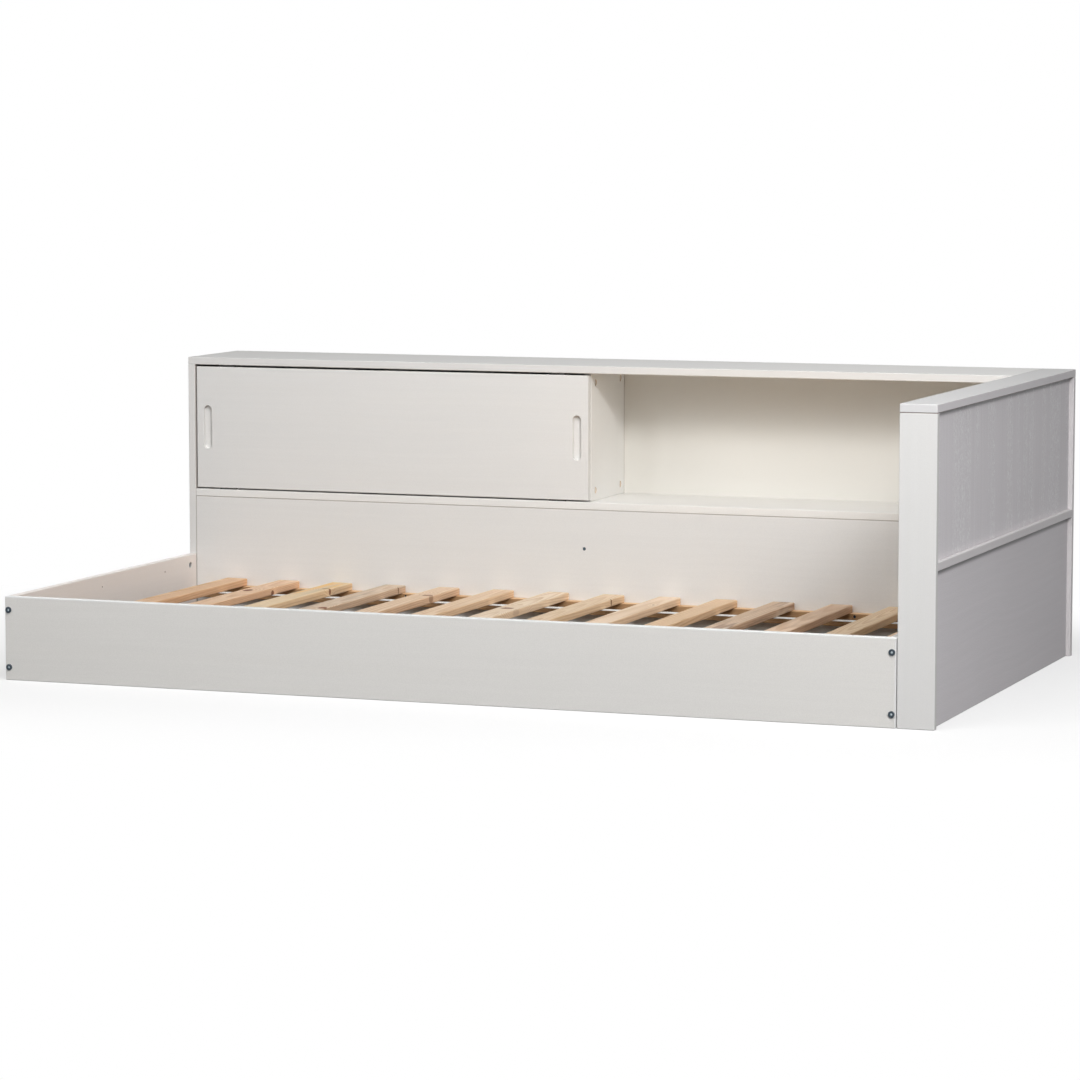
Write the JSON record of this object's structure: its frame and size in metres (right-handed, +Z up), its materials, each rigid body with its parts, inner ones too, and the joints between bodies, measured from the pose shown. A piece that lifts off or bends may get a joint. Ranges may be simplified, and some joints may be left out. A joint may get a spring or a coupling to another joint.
{
  "type": "corner bed",
  "caption": "Low white corner bed: slatted mattress well, full-length back cabinet with a sliding door and an open niche, and a raised hollow head end.",
  "frame": {"origin": "centre of the bounding box, on the floor", "axes": "+X along the bed to the raised head end, +Y across to the cabinet at the wall, +Z up"},
  "size_m": [2.126, 1.233, 0.666],
  "materials": {
    "white_paint": "satin white paint over pine board, grain just visible",
    "cream_board": "smooth cream-white board",
    "pine": "planed raw pine",
    "beech": "fluted raw beech",
    "tape": "woven white webbing",
    "zinc": "bright zinc plate",
    "nylon": "moulded dark grey nylon",
    "white_cap": "moulded white plastic"
  },
  "bodies": {
    "bed": {"back_screws": "zinc", "barrel_nuts": "zinc", "cabinet_back_panel": "cream_board", "cabinet_cam_bolts": "zinc", "cabinet_divider": "white_paint", "cabinet_left_panel": "white_paint", "cabinet_right_panel": "white_paint", "cabinet_shelf": "white_paint", "cabinet_top": "white_paint", "cam_caps": "white_cap", "cam_locks": "zinc", "centre_screw": "zinc", "centre_support": "white_paint", "foot_rail": "white_paint", "front_bolts": "zinc", "front_ledger": "pine", "front_rail": "white_paint", "front_tape": "tape", "head_bottom_rail": "white_paint", "head_cap": "white_paint", "head_dowels": "beech", "head_front_post": "white_paint", "head_inner_panel": "white_paint", "head_lower_panel": "white_paint", "head_mid_rail": "white_paint", "head_rail": "white_paint", "head_rear_post": "white_paint", "head_upper_panel": "white_paint", "joint_bolts": "zinc", "joint_nuts": "zinc", "ledger_screws": "zinc", "lower_panel": "white_paint", "panel_dowels": "beech", "rail_cam_bolts": "zinc", "rear_ledger": "pine", "rear_tape": "tape", "slat_01": "pine", "slat_02": "pine", "slat_03": "pine", "slat_04": "pine", "slat_05": "pine", "slat_06": "pine", "slat_07": "pine", "slat_08": "pine", "slat_09": "pine", "slat_10": "pine", "slat_11": "pine", "slat_12": "pine", "slat_13": "pine", "slat_14": "pine", "tape_staples": "zinc"},
    "door": {"sliding_door": "white_paint", "door_glides": "nylon", "door_guides": "nylon"}
  },
  "joints": [
    {"name": "door_slide", "type": "slide", "parent": "bed", "child": "door", "axis": [1, 0, 0], "range_m": [0, 0.9905]}
  ]
}
